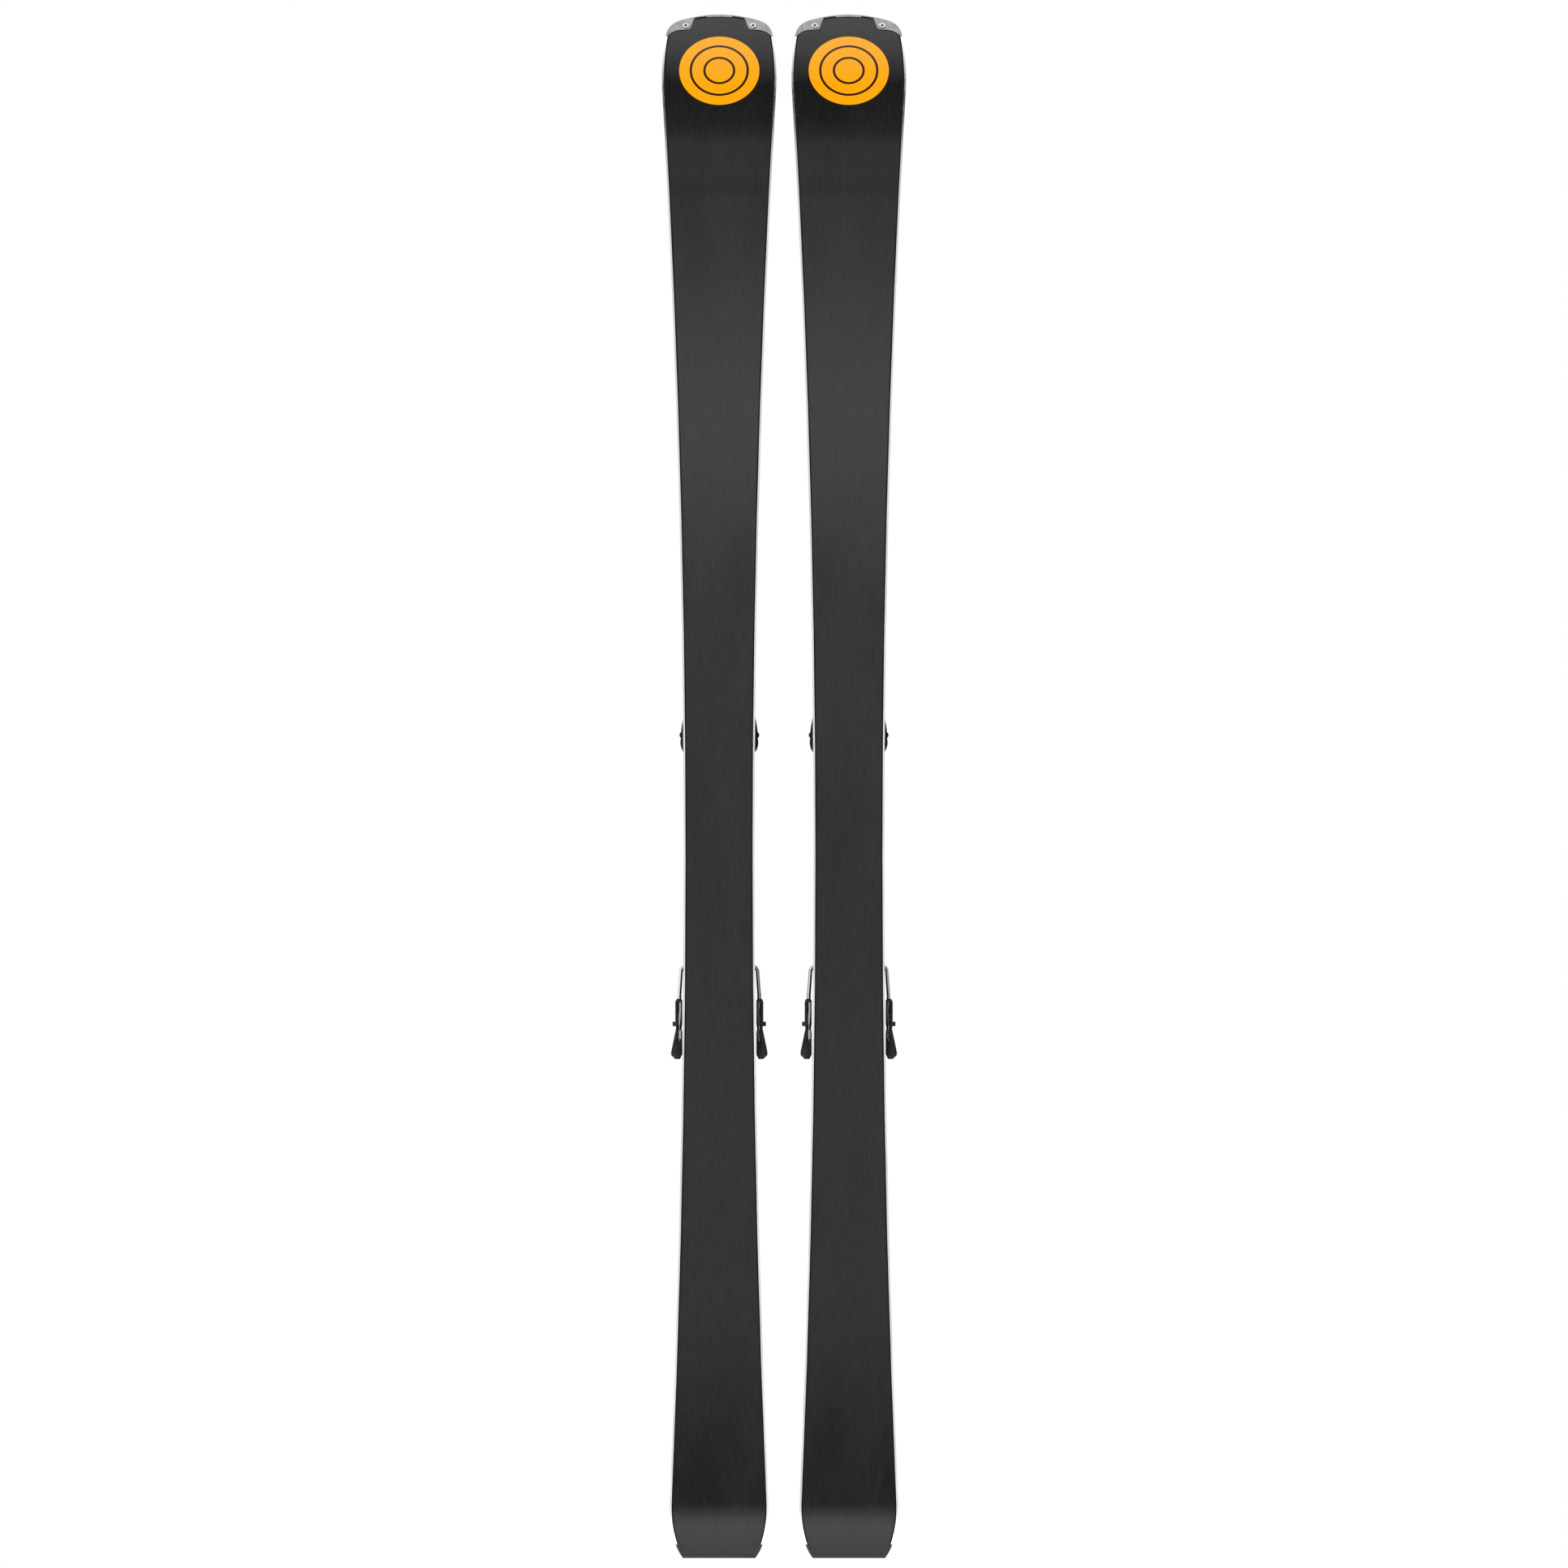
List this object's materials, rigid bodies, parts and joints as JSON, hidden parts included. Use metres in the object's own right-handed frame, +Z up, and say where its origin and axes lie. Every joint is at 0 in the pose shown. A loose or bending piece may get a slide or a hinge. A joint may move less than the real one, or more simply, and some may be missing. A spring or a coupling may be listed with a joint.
{
  "type": "alpine skis with bindings",
  "caption": "Pair of alpine skis lying base down, with step-in toe and heel bindings and swing-down ski brakes.",
  "frame": {"origin": "on the floor between the two skis, midway between tips and tails", "axes": "+Y along the skis to the tips, +Z up from the base to the binding, +X to the skier's right"},
  "size_m": [0.2713, 1.718, 0.101],
  "materials": {
    "base_black": "satin, fine lengthwise stone grind",
    "edge_steel": "ground",
    "laminate_metal": "mill",
    "core_wood": "raw",
    "sidewall_black": "satin",
    "topsheet": "gloss with orange bands",
    "guard_metal": "brushed",
    "screw_steel": "bright",
    "rail_screw_zinc": "zinc plated",
    "guard_black": "satin",
    "rail_black": "satin",
    "binding_black": "fine grain",
    "binding_shell": "satin gloss",
    "pin_steel": "ground",
    "piston_plastic": "smooth",
    "spring_steel": "oiled",
    "pad_plastic": "smooth, low friction",
    "lever_orange": "satin gloss",
    "wire_steel": "bright drawn",
    "brake_black": "fine grain"
  },
  "bodies": {
    "left_ski": {"left_base_sheet": "base_black", "left_steel_edges": "edge_steel", "left_metal_laminates": "laminate_metal", "left_wood_core": "core_wood", "left_sidewalls": "sidewall_black", "left_topsheet": "topsheet", "left_tip_guard": "guard_metal", "left_tip_guard_screws": "screw_steel", "left_tail_guard": "guard_black", "left_binding_rail": "rail_black", "left_rail_screws": "rail_screw_zinc", "left_toe_base": "binding_black", "left_toe_housing": "binding_shell", "left_wing_pins": "pin_steel", "left_toe_piston": "piston_plastic", "left_toe_spring": "spring_steel"},
    "left_wing_inner": {"left_toe_wing_inner": "binding_black"},
    "left_wing_outer": {"left_toe_wing_outer": "binding_black"},
    "left_toe_pad": {"left_toe_pad": "pad_plastic"},
    "left_toe_screw": {"left_toe_release_screw": "screw_steel"},
    "left_carriage": {"left_heel_carriage": "binding_black", "left_heel_pivot_pin": "pin_steel"},
    "left_heel": {"left_heel_housing": "binding_shell", "left_heel_cup": "binding_black", "left_heel_spring": "spring_steel"},
    "left_heel_screw": {"left_heel_release_screw": "screw_steel"},
    "left_lever": {"left_heel_lever": "lever_orange"},
    "left_brake": {"left_brake_wires": "wire_steel", "left_brake_pedal": "brake_black", "left_brake_shoes": "brake_black"},
    "right_ski": {"right_base_sheet": "base_black", "right_steel_edges": "edge_steel", "right_metal_laminates": "laminate_metal", "right_wood_core": "core_wood", "right_sidewalls": "sidewall_black", "right_topsheet": "topsheet", "right_tip_guard": "guard_metal", "right_tip_guard_screws": "screw_steel", "right_tail_guard": "guard_black", "right_binding_rail": "rail_black", "right_rail_screws": "rail_screw_zinc", "right_toe_base": "binding_black", "right_toe_housing": "binding_shell", "right_wing_pins": "pin_steel", "right_toe_piston": "piston_plastic", "right_toe_spring": "spring_steel"},
    "right_wing_inner": {"right_toe_wing_inner": "binding_black"},
    "right_wing_outer": {"right_toe_wing_outer": "binding_black"},
    "right_toe_pad": {"right_toe_pad": "pad_plastic"},
    "right_toe_screw": {"right_toe_release_screw": "screw_steel"},
    "right_carriage": {"right_heel_carriage": "binding_black", "right_heel_pivot_pin": "pin_steel"},
    "right_heel": {"right_heel_housing": "binding_shell", "right_heel_cup": "binding_black", "right_heel_spring": "spring_steel"},
    "right_heel_screw": {"right_heel_release_screw": "screw_steel"},
    "right_lever": {"right_heel_lever": "lever_orange"},
    "right_brake": {"right_brake_wires": "wire_steel", "right_brake_pedal": "brake_black", "right_brake_shoes": "brake_black"}
  },
  "joints": [
    {"name": "left_toe_wing_inner_swing", "type": "hinge", "parent": "left_ski", "child": "left_wing_inner", "pos_m": [-0.05, 0.076, 0.047], "axis": [0, 0, 1], "range_deg": [0, 30], "stiffness_Nm_per_rad": 60},
    {"name": "left_toe_wing_outer_swing", "type": "hinge", "parent": "left_ski", "child": "left_wing_outer", "pos_m": [-0.094, 0.076, 0.047], "axis": [0, 0, -1], "range_deg": [0, 30], "stiffness_Nm_per_rad": 60},
    {"name": "left_toe_pad_slide", "type": "slide", "parent": "left_ski", "child": "left_toe_pad", "axis": [1, 0, 0], "range_m": [-0.008, 0.008]},
    {"name": "left_toe_screw_turn", "type": "hinge", "parent": "left_ski", "child": "left_toe_screw", "pos_m": [-0.072, 0.14, 0.046], "axis": [0, 1, 0], "range_deg": [-720, 720]},
    {"name": "left_carriage_slide", "type": "slide", "parent": "left_ski", "child": "left_carriage", "axis": [0, 1, 0], "range_m": [-0.02, 0.02]},
    {"name": "left_heel_swing", "type": "hinge", "parent": "left_carriage", "child": "left_heel", "pos_m": [-0.072, -0.312, 0.042], "axis": [1, 0, 0], "range_deg": [0, 35]},
    {"name": "left_heel_screw_turn", "type": "hinge", "parent": "left_heel", "child": "left_heel_screw", "pos_m": [-0.072, -0.338, 0.06], "axis": [0, 1, 0], "range_deg": [-720, 720]},
    {"name": "left_heel_lever_tip", "type": "hinge", "parent": "left_heel", "child": "left_lever", "pos_m": [-0.072, -0.3, 0.088], "axis": [1, 0, 0], "range_deg": [0, 17.5]},
    {"name": "left_brake_swing", "type": "hinge", "parent": "left_carriage", "child": "left_brake", "pos_m": [-0.072, -0.203, 0.035], "axis": [1, 0, 0], "range_deg": [0, 52]},
    {"name": "right_toe_wing_inner_swing", "type": "hinge", "parent": "right_ski", "child": "right_wing_inner", "pos_m": [0.05, 0.076, 0.047], "axis": [0, 0, -1], "range_deg": [0, 30], "stiffness_Nm_per_rad": 60},
    {"name": "right_toe_wing_outer_swing", "type": "hinge", "parent": "right_ski", "child": "right_wing_outer", "pos_m": [0.094, 0.076, 0.047], "axis": [0, 0, 1], "range_deg": [0, 30], "stiffness_Nm_per_rad": 60},
    {"name": "right_toe_pad_slide", "type": "slide", "parent": "right_ski", "child": "right_toe_pad", "axis": [1, 0, 0], "range_m": [-0.008, 0.008]},
    {"name": "right_toe_screw_turn", "type": "hinge", "parent": "right_ski", "child": "right_toe_screw", "pos_m": [0.072, 0.14, 0.046], "axis": [0, 1, 0], "range_deg": [-720, 720]},
    {"name": "right_carriage_slide", "type": "slide", "parent": "right_ski", "child": "right_carriage", "axis": [0, 1, 0], "range_m": [-0.02, 0.02]},
    {"name": "right_heel_swing", "type": "hinge", "parent": "right_carriage", "child": "right_heel", "pos_m": [0.072, -0.312, 0.042], "axis": [1, 0, 0], "range_deg": [0, 35]},
    {"name": "right_heel_screw_turn", "type": "hinge", "parent": "right_heel", "child": "right_heel_screw", "pos_m": [0.072, -0.338, 0.06], "axis": [0, 1, 0], "range_deg": [-720, 720]},
    {"name": "right_heel_lever_tip", "type": "hinge", "parent": "right_heel", "child": "right_lever", "pos_m": [0.072, -0.3, 0.088], "axis": [1, 0, 0], "range_deg": [0, 17.5]},
    {"name": "right_brake_swing", "type": "hinge", "parent": "right_carriage", "child": "right_brake", "pos_m": [0.072, -0.203, 0.035], "axis": [1, 0, 0], "range_deg": [0, 52]},
    {"name": "pair_apart", "type": "slide", "parent": "left_ski", "child": "right_ski", "axis": [1, 0, 0], "range_m": [0, 0.25]}
  ],
  "couplings": [
    {"joint": "left_heel_lever_tip", "follows": "left_heel_swing", "ratio": 0.5},
    {"joint": "right_heel_lever_tip", "follows": "right_heel_swing", "ratio": 0.5}
  ]
}
